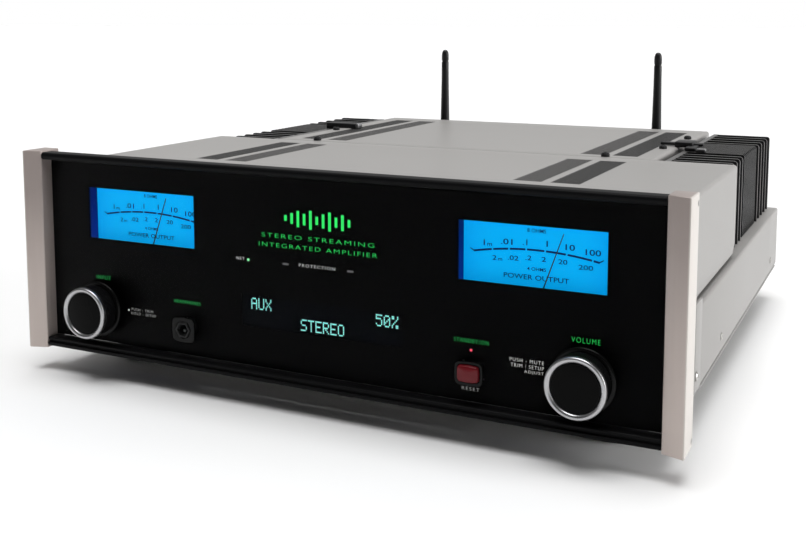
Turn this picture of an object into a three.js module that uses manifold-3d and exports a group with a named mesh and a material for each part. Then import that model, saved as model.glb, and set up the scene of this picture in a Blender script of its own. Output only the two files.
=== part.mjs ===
// A two-channel integrated amplifier with twin needle meters, as separate named pieces.
// Millimetres, +Z up. The front faces -Y, and z = 0 is the surface the feet stand on.
// Inside the assembly group, x = 0 is the middle and y = 0 is the front edge of the end caps.
import * as THREE from 'three';
import { mergeVertices } from 'three/addons/utils/BufferGeometryUtils.js';
import Module from 'manifold-3d';

const wasm = await Module();
wasm.setup();

// Driving dimensions
const panelWidth = 444.5;
const panelHeight = 136;
const panelLift = 16;
const chassisDepth = 428;
const knobReach = 8;
const rearReach = 24;
const fit = 0.3;
const sheet = 1.5;
const roundSides = 24;

// Front panel
const cap = { width: 12.7, slant: 4.2, depth: 21 };
const glass = { front: 8, thickness: 5, bottom: 23.8, top: 145.7 };
const rail = { front: 4, back: 14, upperHeight: 4.9, lowerHeight: 5.9, lowerBottom: 17.6 };
const mask = { front: 13.3, thickness: 1 };
const subpanel = { front: 16, thickness: 2, bottom: 24, top: 140, flange: 18 };

// Meters
const meter = { x: 134.15, z: 111.2, width: 85.8, height: 34.2 };
const meterBox = { halfWidth: 43.1, bottom: 60.5, top: 130.5, wall: 2, front: 14.6, back: 44 };
const dial = { front: 21.2, thickness: 1 };
const needle = { pivotZ: 76.4, length: 50.6, tail: 9, rest: 19.5, front: 18.4, thickness: 0.8 };
const movement = { radius: 15, front: 22.8, back: 38 };

// Display
const display = { z: 59, width: 112, height: 20, tubeFront: 14.7, tubeBack: 19.6, tubeHalf: 58 };

// Controls
const knob = { x: 166.35, z: 47.8, radius: 16.6, ringOuter: 17.1, ringInner: 13.9, back: 5 };
const shaft = { radius: 3, front: -3, back: 26 };
const encoder = { size: 14, front: 22, back: 29, bushing: 4.6 };
const button = { x: 100.75, z: 42.4, width: 12.8, height: 9.6, front: 4.2 };
const phones = { x: -96.25, z: 42.3, bore: 3.3 };
const controlHole = 8.5;

// Chassis and covers
const coverHalf = 212;
const coverTop = 141.9;
const seam = 212.3;
const rearCoverHalf = 155.3;
const tray = { half: 215, bottom: 29.5, top: 78.5, front: 80, flange: 55, earFront: 62, earTop: 81.7 };
const vent = { inner: [97.85, 116.6], outer: [121.85, 140.65], front: [82, 195.6], rear: [226, 406.3] };
const sink = { inner: 161, outer: 207.5, bottom: 78.8, top: 140.5, base: 4, fin: 2.4 };
const foot = { x: 172, front: 62, rear: 384, radius: 18.5 };

// Rear connections
const rearFace = 427.5;
const aerial = { x: 105.25, y: 444.5, z: 107.5, tip: 210 };
const post = { spacing: 30, z: 54, radius: 8.5, length: 16 };
const socketPlate = 429.4;

// Finishes
const finish = (color, roughness, metalness = 0) =>
  new THREE.MeshStandardMaterial({ color, roughness, metalness });
const greyPaint = finish(0xb4b1ac, 0.45, 0.3);
const blackPaint = finish(0x101010, 0.5, 0.2);
const blackAnodised = finish(0x18181a, 0.4, 0.7);
const silver = finish(0xd8d2c8, 0.35, 1);
const chrome = finish(0xd9dadc, 0.12, 1);
const smoked = new THREE.MeshStandardMaterial({
  color: 0x0b0c0e,
  roughness: 0.05,
  transparent: true,
  opacity: 0.35,
});
const matteBlack = finish(0x121212, 0.6);
const glossBlack = finish(0x060606, 0.1);
const redPlastic = finish(0x7c1a26, 0.3);
const rubber = finish(0x161616, 0.8);
const steel = finish(0x9a9da0, 0.4, 0.9);
const circuit = finish(0x1d5a34, 0.6);
const gold = finish(0xd9ab4c, 0.25, 1);
const blueDial = finish(0x0a9df0, 0.4);
const displayGlass = finish(0x0b1f4a, 0.1);
const sleeve = finish(0x20242c, 0.35);

const assembly = new THREE.Group();
assembly.position.set(0, knobReach - (knobReach + chassisDepth + rearReach) / 2, 0);

// Turns a closed geometry into a solid, with its shared vertices merged.
function solid(geometry) {
  const bare = geometry.clone();
  bare.deleteAttribute('normal');
  bare.deleteAttribute('uv');
  const merged = mergeVertices(bare, 1e-4);
  const corners = merged.index.array;
  const kept = [];
  for (let i = 0; i < corners.length; i += 3) {
    const [a, b, c] = [corners[i], corners[i + 1], corners[i + 2]];
    if (a !== b && b !== c && a !== c) kept.push(a, b, c);
  }
  return new wasm.Manifold(
    new wasm.Mesh({
      numProp: 3,
      vertProperties: merged.attributes.position.array,
      triVerts: Uint32Array.from(kept),
    }),
  );
}

function surface(body) {
  const { vertProperties, triVerts } = body.getMesh();
  const geometry = new THREE.BufferGeometry();
  geometry.setAttribute('position', new THREE.BufferAttribute(vertProperties, 3));
  geometry.setIndex(new THREE.BufferAttribute(triVerts, 1));
  geometry.computeVertexNormals();
  return geometry;
}

function join(...geometries) {
  return surface(geometries.map(solid).reduce((all, next) => all.add(next)));
}

function cut(geometry, ...tools) {
  return surface(tools.map(solid).reduce((left, tool) => left.subtract(tool), solid(geometry)));
}

function place(name, geometry, material) {
  const piece = new THREE.Mesh(geometry, material);
  piece.name = name;
  assembly.add(piece);
  return piece;
}

// A block between two corners.
function block(x0, x1, y0, y1, z0, z1) {
  const geometry = new THREE.BoxGeometry(x1 - x0, y1 - y0, z1 - z0);
  return geometry.translate((x0 + x1) / 2, (y0 + y1) / 2, (z0 + z1) / 2);
}

// A solid of revolution about a line along Y, from [radius, y] points that run front to back.
function turned(x, z, points, sides = roundSides) {
  const outline = points.map(([radius, y]) => new THREE.Vector2(radius, y));
  return new THREE.LatheGeometry(outline, sides).translate(x, 0, z);
}

function rod(x, z, y0, y1, radius, sides = roundSides) {
  return turned(x, z, [[0, y0], [radius, y0], [radius, y1], [0, y1]], sides);
}

// A solid of revolution about a line along Z.
function upright(x, y, points, sides = roundSides) {
  const outline = points.map(([radius, z]) => new THREE.Vector2(radius, z));
  return new THREE.LatheGeometry(outline, sides).rotateX(Math.PI / 2).translate(x, y, 0);
}

function roundedOutline(x, z, width, height, radius) {
  const shape = new THREE.Shape();
  const [left, right, low, high] = [x - width / 2, x + width / 2, z - height / 2, z + height / 2];
  shape.moveTo(left + radius, low);
  shape.lineTo(right - radius, low);
  shape.absarc(right - radius, low + radius, radius, -Math.PI / 2, 0);
  shape.lineTo(right, high - radius);
  shape.absarc(right - radius, high - radius, radius, 0, Math.PI / 2);
  shape.lineTo(left + radius, high);
  shape.absarc(left + radius, high - radius, radius, Math.PI / 2, Math.PI);
  shape.lineTo(left, low + radius);
  shape.absarc(left + radius, low + radius, radius, Math.PI, Math.PI * 1.5);
  return shape;
}

// A flat plate facing the front: an outline in X and Z, from y0 back to y1.
function facing(shape, y0, y1, curveSegments = 4) {
  const geometry = new THREE.ExtrudeGeometry(shape, {
    depth: y1 - y0,
    bevelEnabled: false,
    curveSegments,
  });
  return geometry.rotateX(Math.PI / 2).translate(0, y1, 0);
}

// An outline in X and Y pulled up from z0 to z1.
function raised(points, z0, z1) {
  const shape = new THREE.Shape(points.map(([x, y]) => new THREE.Vector2(x, y)));
  const geometry = new THREE.ExtrudeGeometry(shape, { depth: z1 - z0, bevelEnabled: false });
  return geometry.translate(0, 0, z0);
}

// An outline in Y and Z drawn along X.
function drawn(points, x0, x1) {
  const shape = new THREE.Shape(points.map(([y, z]) => new THREE.Vector2(y, z)));
  const geometry = new THREE.ExtrudeGeometry(shape, { depth: x1 - x0, bevelEnabled: false });
  const turn = new THREE.Matrix4().makeBasis(
    new THREE.Vector3(0, 1, 0),
    new THREE.Vector3(0, 0, 1),
    new THREE.Vector3(1, 0, 0),
  );
  return geometry.applyMatrix4(turn).translate(x0, 0, 0);
}

const sides = [
  ['left', -1],
  ['right', 1],
];

// Front panel: glass, printed mask, rails, end caps and the steel plate behind them

function panelCuts(y0, y1) {
  return [
    ...sides.map(([, side]) => rod(side * knob.x, knob.z, y0, y1, controlHole)),
    rod(phones.x, phones.z, y0, y1, 6.6),
    block(button.x - 7, button.x + 7, y0, y1, button.z - 5.4, button.z + 5.4),
  ];
}

function windowCuts(y0, y1, growth = 0) {
  const [w, h] = [meter.width / 2 + growth, meter.height / 2 + growth];
  const [dw, dh] = [display.width / 2 + growth, display.height / 2 + growth];
  return [
    ...sides.map(([, side]) =>
      block(side * meter.x - w, side * meter.x + w, y0, y1, meter.z - h, meter.z + h),
    ),
    block(-dw, dw, y0, y1, display.z - dh, display.z + dh),
  ];
}

function frontPanel() {
  const half = panelWidth / 2 - cap.width - fit;
  const glassBack = glass.front + glass.thickness;
  const pane = block(-half, half, glass.front, glassBack, glass.bottom, glass.top);
  place('glass_panel', cut(pane, ...panelCuts(glass.front - 1, glassBack + 1)), smoked);

  const maskBack = mask.front + mask.thickness;
  const backing = block(-half, half, mask.front, maskBack, glass.bottom, glass.top);
  const maskCuts = [
    ...panelCuts(mask.front - 1, maskBack + 1),
    ...windowCuts(mask.front - 1, maskBack + 1),
  ];
  place('panel_mask', cut(backing, ...maskCuts), matteBlack);

  const upper = glass.top + fit;
  const upperTop = upper + rail.upperHeight;
  const nose = 1.6;
  const upperOutline = [
    [rail.front + nose, upper],
    [rail.back, upper],
    [rail.back, upperTop],
    [rail.front + nose, upperTop],
    [rail.front + nose * 0.3, upperTop - nose * 0.3],
    [rail.front, upperTop - nose],
    [rail.front, upper + nose],
    [rail.front + nose * 0.3, upper + nose * 0.3],
  ];
  place('top_rail', drawn(upperOutline, -half, half), blackAnodised);

  const low = rail.lowerBottom;
  const lowerOutline = [
    [rail.front, low],
    [rail.back, low],
    [rail.back, low + rail.lowerHeight],
    [rail.front + 1.6, low + rail.lowerHeight],
    [rail.front + 1.6, low + 3.4],
    [rail.front + 2.6, low + 3.4],
    [rail.front + 2.6, low + 2.2],
    [rail.front, low + 2.2],
  ];
  place('bottom_rail', drawn(lowerOutline, -half, half), blackAnodised);

  for (const [name, side] of sides) {
    const outer = (side * panelWidth) / 2;
    const inner = outer - side * cap.width;
    const outline = [
      [outer, 0],
      [outer, cap.depth],
      [inner, cap.depth],
      [inner, cap.slant],
    ];
    const ordered = side > 0 ? outline : [...outline].reverse();
    place(`end_cap_${name}`, raised(ordered, panelLift, panelLift + panelHeight), silver);
  }
}

function frontSubpanel() {
  const half = panelWidth / 2 - cap.width - 1;
  const back = subpanel.front + subpanel.thickness;
  const plate = block(-half, half, subpanel.front, back, subpanel.bottom, subpanel.top);
  const boxHalf = meterBox.halfWidth + meterBox.wall + 0.5;
  const openings = sides.map(([, side]) =>
    block(
      side * meter.x - boxHalf,
      side * meter.x + boxHalf,
      subpanel.front - 1,
      back + 1,
      meterBox.bottom - meterBox.wall - 0.5,
      meterBox.top + meterBox.wall + 0.5,
    ),
  );
  const tubeHeight = display.height / 2 + 2;
  const tube = block(
    -display.tubeHalf - 2,
    display.tubeHalf + 2,
    subpanel.front - 1,
    back + 1,
    display.z - tubeHeight,
    display.z + tubeHeight,
  );
  const flanges = sides.map(([, side]) =>
    block(
      side > 0 ? half - sheet : -half,
      side > 0 ? half : -half + sheet,
      back - 0.5,
      back + subpanel.flange,
      subpanel.bottom + 10,
      subpanel.top,
    ),
  );
  const body = cut(plate, ...openings, tube, ...panelCuts(subpanel.front - 1, back + 1));
  place('front_subpanel', join(body, ...flanges), steel);
}

// Meters: an open box, a dial plate, a moving-coil movement and the needle on its pivot

function meterBody(name, side) {
  const x = side * meter.x;
  const { halfWidth, bottom, top, wall, front, back } = meterBox;
  const shell = block(
    x - halfWidth - wall,
    x + halfWidth + wall,
    front,
    back,
    bottom - wall,
    top + wall,
  );
  const hollow = block(x - halfWidth, x + halfWidth, front - 1, back - wall, bottom, top);
  place(`meter_housing_${name}`, cut(shell, hollow), matteBlack);

  const dialBack = dial.front + dial.thickness;
  const face = block(
    x - halfWidth + fit,
    x + halfWidth - fit,
    dial.front,
    dialBack,
    bottom + fit,
    top - fit,
  );
  const pivotHole = rod(x, needle.pivotZ, dial.front - 1, dialBack + 1, 3.2, 16);
  place(`meter_dial_${name}`, cut(face, pivotHole), blueDial);

  const coil = rod(x, needle.pivotZ, movement.front, movement.back, movement.radius);
  const bearing = rod(x, needle.pivotZ, movement.front - 1, movement.front + 6, 1.6, 12);
  place(`meter_movement_${name}`, cut(coil, bearing), steel);
}

// The pointer stands in front of the dial and its pin runs through the dial into the movement.
function meterNeedle(name, side) {
  const { pivotZ, length, tail, rest, front, thickness } = needle;
  const pointer = new THREE.Shape([
    new THREE.Vector2(-0.8, -tail),
    new THREE.Vector2(0.8, -tail),
    new THREE.Vector2(0.35, length),
    new THREE.Vector2(-0.35, length),
  ]);
  const arm = facing(pointer, front, front + thickness);
  const hub = turned(0, 0, [[0, front - 0.6], [2.4, front - 0.6], [2.4, front + 2], [0, front + 2]], 16);
  const pin = rod(0, 0, front + 1, movement.front + 5, 1, 12);
  const geometry = join(arm, hub, pin);
  geometry.rotateY(THREE.MathUtils.degToRad(rest));
  geometry.translate(side * meter.x, 0, pivotZ);
  place(`meter_needle_${name}`, geometry, matteBlack);
}

function frontDisplay() {
  const { z, tubeFront, tubeBack, tubeHalf } = display;
  const envelopeHalf = display.height / 2 + 1;
  const carrierHalf = envelopeHalf + 2;
  const envelope = block(-tubeHalf, tubeHalf, tubeFront, tubeBack, z - envelopeHalf, z + envelopeHalf);
  const carrier = block(
    -tubeHalf - 3,
    tubeHalf + 3,
    tubeBack - 0.2,
    tubeBack + 1.6,
    z - carrierHalf,
    z + carrierHalf,
  );
  place('display_module', join(envelope, carrier), displayGlass);
}

// Controls

function pushKnob(name, side) {
  const x = side * knob.x;
  const step = -4.5;
  const bore = shaft.radius + fit;
  const body = turned(x, knob.z, [
    [0, -7],
    [knob.ringInner - fit, -7],
    [knob.ringInner - fit, step + fit],
    [knob.radius, step + fit],
    [knob.radius, knob.back],
    [bore, knob.back],
    [bore, shaft.front - fit],
    [0, shaft.front - fit],
  ]);
  place(`${name}_knob`, body, matteBlack);

  const ring = turned(x, knob.z, [
    [knob.ringInner, -7.4],
    [knob.ringInner + 1, -knobReach],
    [knob.ringOuter - 0.9, -knobReach + 0.2],
    [knob.ringOuter, -knobReach + 1.4],
    [knob.ringOuter, step],
    [knob.ringInner, step],
    [knob.ringInner, -7.4],
  ]);
  place(`${name}_knob_ring`, ring, chrome);

  place(`${name}_shaft`, rod(x, knob.z, shaft.front, shaft.back, shaft.radius, 16), steel);

  const halfSize = encoder.size / 2;
  const can = block(
    x - halfSize,
    x + halfSize,
    encoder.front,
    encoder.back,
    knob.z - halfSize,
    knob.z + halfSize,
  );
  const bushing = rod(x, knob.z, glass.front, encoder.front + 1, encoder.bushing, 16);
  const bearing = rod(x, knob.z, glass.front - 1, shaft.back + 1.2, bore, 16);
  place(`${name}_encoder`, cut(join(can, bushing), bearing), steel);
}

function standbyButton() {
  const { x, z, width, height, front } = button;
  const stem = 2.2;
  const capBack = 13;
  const crown = facing(roundedOutline(x, z, width, height, 1.6), front, capBack);
  const plunger = block(x - stem, x + stem, capBack - 1, 23.5, z - stem, z + stem);
  place('power_button', join(crown, plunger), redPlastic);

  const body = block(x - 7, x + 7, 18.4, 29, z - 6, z + 6);
  const slot = block(x - stem - fit, x + stem + fit, 17, 26.5, z - stem - fit, z + stem + fit);
  place('power_switch', cut(body, slot), matteBlack);
}

function headphoneSocket() {
  const { x, z, bore } = phones;
  const nose = rod(x, z, 6.9, 19, 5.6);
  const body = block(x - 7.5, x + 7.5, 18.4, 48, z - 7.5, z + 7.5);
  const hole = rod(x, z, 5, 43, bore);
  place('headphone_jack', cut(join(nose, body), hole), matteBlack);
}

function controlBoard() {
  const plate = block(-198, 198, 29.4, 31, 32, 57.5);
  const jackGap = block(phones.x - 8.5, phones.x + 8.5, 28, 33, phones.z - 8.5, phones.z + 8.5);
  place('control_board', cut(plate, jackGap), circuit);
}

// Chassis, covers and feet

function chassisTray() {
  const { half, bottom, top, front, flange, earFront, earTop } = tray;
  const back = chassisDepth - 0.5;
  const narrow = coverHalf - sheet - 0.5;
  const floor = raised(
    [
      [-narrow, 24],
      [narrow, 24],
      [narrow, front],
      [half, front],
      [half, back],
      [-half, back],
      [-half, front],
      [-narrow, front],
    ],
    bottom,
    bottom + sheet,
  );
  const walls = sides.map(([, side]) => {
    const outline = [
      [half, bottom + 0.2],
      [half, top],
      [half - flange, top],
      [half - flange, top - sheet],
      [half - sheet, top - sheet],
      [half - sheet, bottom + 0.2],
    ].map(([x, z]) => new THREE.Vector2(side * x, z));
    return facing(new THREE.Shape(side > 0 ? outline : outline.reverse()), front, back);
  });
  const ears = sides.map(([, side]) =>
    block(
      side > 0 ? half - sheet : -half,
      side > 0 ? half : -half + sheet,
      earFront,
      front + 1,
      bottom + 0.2,
      earTop,
    ),
  );
  const slots = [];
  for (let row = 0; row < 5; row += 1) {
    const y = 250 + row * 30;
    for (const [, side] of sides) {
      slots.push(block(side * 95 - 35, side * 95 + 35, y, y + 5, bottom - 1, bottom + 3));
    }
  }
  place('chassis_tray', cut(join(floor, ...walls, ...ears), ...slots), greyPaint);
}

function ventCuts(range) {
  return sides.flatMap(([, side]) =>
    [vent.inner, vent.outer].map(([a, b]) =>
      block(
        side > 0 ? a : -b,
        side > 0 ? b : -a,
        range[0],
        range[1],
        coverTop - 5,
        coverTop + 5,
      ),
    ),
  );
}

// The front cover wraps over both sides, and a leg at its front runs down past the tray.
function frontCover() {
  const start = cap.depth + 0.4;
  const lowEdge = 82;
  const legBottom = 21;
  const legBack = tray.front - 0.6;
  const corner = 6.5;
  const top = block(-coverHalf, coverHalf, start, seam, coverTop - sheet, coverTop);
  const sidePanels = sides.map(([, side]) =>
    drawn(
      [
        [start, legBottom],
        [legBack - 9, legBottom],
        [legBack, legBottom + 4],
        [legBack, lowEdge],
        [seam - corner, lowEdge],
        [seam, lowEdge + corner],
        [seam, coverTop - 0.5],
        [start, coverTop - 0.5],
      ],
      side > 0 ? coverHalf - sheet : -coverHalf,
      side > 0 ? coverHalf : -coverHalf + sheet,
    ),
  );
  place('front_cover', cut(join(top, ...sidePanels), ...ventCuts(vent.front)), greyPaint);
}

function rearCover() {
  const start = seam + 0.8;
  const lip = tray.top + 0.5;
  const top = block(-rearCoverHalf, rearCoverHalf, start, chassisDepth, coverTop - sheet, coverTop);
  const lips = sides.map(([, side]) =>
    block(
      side > 0 ? rearCoverHalf - sheet : -rearCoverHalf,
      side > 0 ? rearCoverHalf : -rearCoverHalf + sheet,
      start,
      chassisDepth - 3,
      lip,
      coverTop - 0.5,
    ),
  );
  place('rear_cover', cut(join(top, ...lips), ...ventCuts(vent.rear)), greyPaint);
}

function rearPanel() {
  const wide = tray.half - sheet - fit;
  const narrow = rearCoverHalf - fit;
  const [y0, y1] = [rearFace - sheet, rearFace];
  const lower = block(-wide, wide, y0, y1, tray.bottom + sheet + fit, tray.top - sheet - fit);
  const upper = block(-narrow, narrow, y0, y1, tray.top - sheet - fit - 1, coverTop - sheet - fit);
  const openings = [
    block(-184.5, -155.5, y0 - 1, y1 + 1, 47.5, 68.5),
    ...sides.map(([, side]) => rod(side * aerial.x, aerial.z, y0 - 1, y1 + 1, 3.5, 16)),
    block(80, 192, y0 - 1, y1 + 1, 42, 72),
    block(-70, 40, y0 - 1, y1 + 1, 108, 126),
  ];
  place('rear_panel', cut(join(lower, upper), ...openings), blackPaint);
}

// Each heat sink is one extrusion: two groups of broad fins with a block of fine ribs between.
function heatSinks() {
  const { inner, outer, bottom, top, base, fin } = sink;
  const frontFins = [0, 1, 2, 3, 4].map((i) => [216 + i * 13, fin, outer]);
  const ribs = [0, 1, 2, 3, 4, 5, 6, 7, 8, 9].map((i) => [284 + i * 6.2, 3.4, outer - 1.5]);
  const rearFins = [0, 1, 2, 3, 4].map((i) => [352 + i * 16, fin, outer]);
  const start = 215;
  const end = 420;
  for (const [name, side] of sides) {
    const outline = [
      [inner, start],
      [inner + base, start],
    ];
    for (const [y, thickness, reach] of [...frontFins, ...ribs, ...rearFins]) {
      outline.push([inner + base, y], [reach, y], [reach, y + thickness], [inner + base, y + thickness]);
    }
    outline.push([inner + base, end], [inner, end]);
    const points = outline.map(([x, y]) => [side * x, y]);
    place(`heatsink_${name}`, raised(side > 0 ? points : points.reverse(), bottom, top), blackAnodised);
  }
}

function feet() {
  const top = tray.bottom - fit;
  for (const [depthName, y] of [['front', foot.front], ['rear', foot.rear]]) {
    for (const [name, side] of sides) {
      const profile = [
        [0, 0],
        [foot.radius - 4, 0],
        [foot.radius - 2.5, 2],
        [foot.radius, 6],
        [foot.radius - 2, top],
        [0, top],
      ];
      const geometry = upright(side * foot.x, y, profile, 20);
      place(`foot_${depthName}_${name}`, geometry, rubber);
    }
  }
}

// Inside

function insides() {
  const floorTop = tray.bottom + sheet + fit;
  const boardBottom = 40;
  const boardThickness = 1.6;
  const wound = [
    [0, 0],
    [36, 0],
    [36, 4],
    [60, 4],
    [66, 12],
    [66, 56],
    [60, 64],
    [34, 64],
    [34, 67],
    [5, 67],
    [5, 74],
    [0, 74],
  ].map(([radius, rise]) => [radius, floorTop + rise]);
  place('power_transformer', upright(0, 128, wound, 28), steel);

  for (const [name, x0, x1, y0, y1] of [
    ['amplifier_board', -150, 150, 232, 396],
    ['supply_board', 84, 204, 52, 204],
  ]) {
    const posts = [x0 + 6, x1 - 6].flatMap((x) =>
      [y0 + 6, y1 - 6].map((y) =>
        upright(x, y, [
          [0, floorTop],
          [3, floorTop],
          [3, boardBottom + 0.5],
          [0, boardBottom + 0.5],
        ], 8),
      ),
    );
    const board = block(x0, x1, y0, y1, boardBottom, boardBottom + boardThickness);
    place(name, join(board, ...posts), circuit);
  }
  place('input_board', block(70, 196, 414, 414 + boardThickness, 36, 75.5), circuit);

  const can = { x: 36, y: 268, radius: 25, bottom: boardBottom + boardThickness + fit, top: 112 };
  for (const [name, side] of sides) {
    const profile = [
      [0, can.bottom],
      [can.radius, can.bottom],
      [can.radius, can.top - 1.5],
      [can.radius - 1.5, can.top],
      [0, can.top],
    ];
    place(`filter_capacitor_${name}`, upright(side * can.x, can.y, profile, 24), sleeve);
  }
}

// Rear connections

function speakerTerminals() {
  const studLength = 19;
  const xs = [-1.5, -0.5, 0.5, 1.5].map((n) => -14 + n * post.spacing);
  const base = facing(roundedOutline(-14, post.z, 128, 30, 3), rearFace + fit, rearFace + 4);
  const collars = xs.map((x) => rod(x, post.z, rearFace + 3, rearFace + 7, 7.5, 16));
  const studs = xs.map((x) => rod(x, post.z, rearFace + 3, rearFace + studLength, 3.5, 16));
  place('speaker_terminal_block', join(base, ...collars, ...studs), glossBlack);

  const front = chassisDepth + rearReach - post.length;
  const bore = 3.9;
  xs.forEach((x, index) => {
    const cover = turned(x, post.z, [
      [bore, front],
      [post.radius, front],
      [post.radius, front + 6],
      [post.radius - 1.2, front + 7],
      [post.radius - 1.2, front + post.length],
      [bore, front + post.length],
      [bore, front],
    ]);
    place(`binding_post_${index + 1}`, cover, gold);
  });
}

function signalSockets() {
  const barrel = (x, z) => rod(x, z, socketPlate - 0.6, 437.2, 4.2, 14);
  const plate = facing(roundedOutline(136, 57, 128, 38, 2), rearFace + fit, socketPlate);
  const rows = [66, 48];
  const columns = [0, 1, 2, 3, 4, 5].map((n) => 84 + n * 20.8);
  const barrels = rows.flatMap((z) => columns.map((x) => barrel(x, z)));
  place('phono_socket_block', join(plate, ...barrels), gold);

  const flange = facing(roundedOutline(-118, 56, 50, 32, 3), rearFace + fit, socketPlate + 1);
  const wells = [-130, -106].map((x) => rod(x, 56, rearFace + fit + 1, 440, 9.2, 20));
  place('balanced_socket_pair', cut(flange, ...wells), matteBlack);

  const bar = facing(roundedOutline(-15, 117, 118, 24, 2), rearFace + fit, socketPlate);
  const usb = block(-60, -48, 429, 432.6, 111, 122);
  const optical = [-28, -8].map((x) => block(x - 5, x + 5, 429, 433, 112, 122));
  const coaxial = [14, 34].map((x) => rod(x, 117, 429, 436, 4.2, 14));
  place('digital_socket_block', join(bar, usb, ...optical, ...coaxial), matteBlack);
}

function mainsInlet() {
  const flange = facing(roundedOutline(-170, 58, 46, 24, 3), rearFace + fit, rearFace + 2.8);
  const body = block(-184, -156, 404, rearFace + 1, 48, 68);
  const well = block(-182, -158, 410, 432, 50, 66);
  const shell = cut(join(flange, body), well);
  const pins = [-177, -170, -163].map((x) => block(x - 1, x + 1, 408, 424, x === -170 ? 59 : 55, x === -170 ? 63 : 59));
  place('mains_inlet', join(shell, ...pins), matteBlack);
}

// Each aerial screws to a fixed socket, swivels on it, and tilts on a pin through its foot.
function aerials() {
  const { y, z, tip } = aerial;
  for (const [name, side] of sides) {
    const x = side * aerial.x;
    const thread = rod(x, z, rearFace - 6, 436, 3.1, 16);
    const nut = rod(x, z, rearFace + fit, rearFace + 3, 5, 6);
    place(`aerial_socket_${name}`, join(thread, nut), gold);

    const collar = rod(x, z, 433, 439.6, 4.9, 16);
    const threadHole = rod(x, z, 432, 436.3, 3.4, 16);
    const cheeks = [-1, 1].map((edge) =>
      block(x + edge * 3.3 - 1.2, x + edge * 3.3 + 1.2, 439, y + 4, z - 4, z + 4),
    );
    const pin = new THREE.CylinderGeometry(1.1, 1.1, 6, 12).rotateZ(Math.PI / 2).translate(x, y, z);
    place(`aerial_elbow_${name}`, join(cut(collar, threadHole), ...cheeks, pin), rubber);

    const pinHole = new THREE.CylinderGeometry(1.4, 1.4, 9, 12).rotateZ(Math.PI / 2).translate(x, y, z);
    const tang = cut(block(x - 1.8, x + 1.8, y - 3, y + 3, z - 3, z + 8), pinHole);
    const mast = upright(x, y, [
      [0, z + 6],
      [5, z + 6],
      [5, z + 10],
      [4.7, z + 22],
      [3.5, tip - 12],
      [3.1, tip - 11],
      [3.1, tip - 10],
      [3.5, tip - 9],
      [3.2, tip - 3],
      [1.9, tip - 0.7],
      [0, tip],
    ], 16);
    place(`aerial_mast_${name}`, join(tang, mast), rubber);
  }
}

frontPanel();
frontSubpanel();
for (const [name, side] of sides) {
  meterBody(name, side);
  meterNeedle(name, side);
}
frontDisplay();
pushKnob('input', -1);
pushKnob('volume', 1);
standbyButton();
headphoneSocket();
controlBoard();
chassisTray();
frontCover();
rearCover();
rearPanel();
heatSinks();
feet();
insides();
speakerTerminals();
signalSockets();
mainsInlet();
aerials();

export default assembly;
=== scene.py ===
import math
import bpy
import bmesh
from mathutils import Matrix, Vector


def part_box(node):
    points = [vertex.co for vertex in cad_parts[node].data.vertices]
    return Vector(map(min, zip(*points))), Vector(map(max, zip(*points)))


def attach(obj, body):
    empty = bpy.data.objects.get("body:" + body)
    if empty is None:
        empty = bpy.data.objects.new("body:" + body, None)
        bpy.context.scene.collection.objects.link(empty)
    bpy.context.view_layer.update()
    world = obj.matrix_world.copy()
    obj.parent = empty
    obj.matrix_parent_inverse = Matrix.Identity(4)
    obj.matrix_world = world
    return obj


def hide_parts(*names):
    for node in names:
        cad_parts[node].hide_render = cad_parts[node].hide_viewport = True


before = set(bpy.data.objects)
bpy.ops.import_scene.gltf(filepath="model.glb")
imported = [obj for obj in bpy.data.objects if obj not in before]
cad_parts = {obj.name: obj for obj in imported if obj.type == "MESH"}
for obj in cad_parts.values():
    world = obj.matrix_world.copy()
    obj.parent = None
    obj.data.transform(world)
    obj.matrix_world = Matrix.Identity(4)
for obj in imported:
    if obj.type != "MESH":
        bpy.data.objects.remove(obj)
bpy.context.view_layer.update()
scene = bpy.context.scene
scene.view_settings.view_transform = "Standard"
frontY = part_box("end_cap_left")[0].y
print("frame loaded:", len(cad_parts), "CAD nodes")


def at(x, y, z):  # millimetres: x from the middle, y back from the end caps' front, z up from the floor
    return Vector((x * 0.001, frontY + y * 0.001, z * 0.001))


# ---- shader sums: a socket that can be added to, scaled and compared

class Wire:
    def __init__(self, finish, socket):
        self.finish = finish
        self.socket = socket

    def sum(self, operation, first, second=0.0):
        return self.finish.node("ShaderNodeMath", {"operation": operation}, {0: first, 1: second})

    def __add__(self, other):
        return self.sum("ADD", self, other)

    def __radd__(self, other):
        return self.sum("ADD", other, self)

    def __sub__(self, other):
        return self.sum("SUBTRACT", self, other)

    def __rsub__(self, other):
        return self.sum("SUBTRACT", other, self)

    def __mul__(self, other):
        return self.sum("MULTIPLY", self, other)

    def __rmul__(self, other):
        return self.sum("MULTIPLY", other, self)

    def size(self):
        return self.sum("ABSOLUTE", self)

    def wave(self):
        return self.sum("SINE", self)

    def between(self, low, high):  # 0 below low, 1 above high, smooth in between
        settings = {"interpolation_type": "SMOOTHSTEP"}
        return self.finish.node("ShaderNodeMapRange", settings, {0: self, 1: low, 2: high, 3: 0.0, 4: 1.0})


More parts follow.
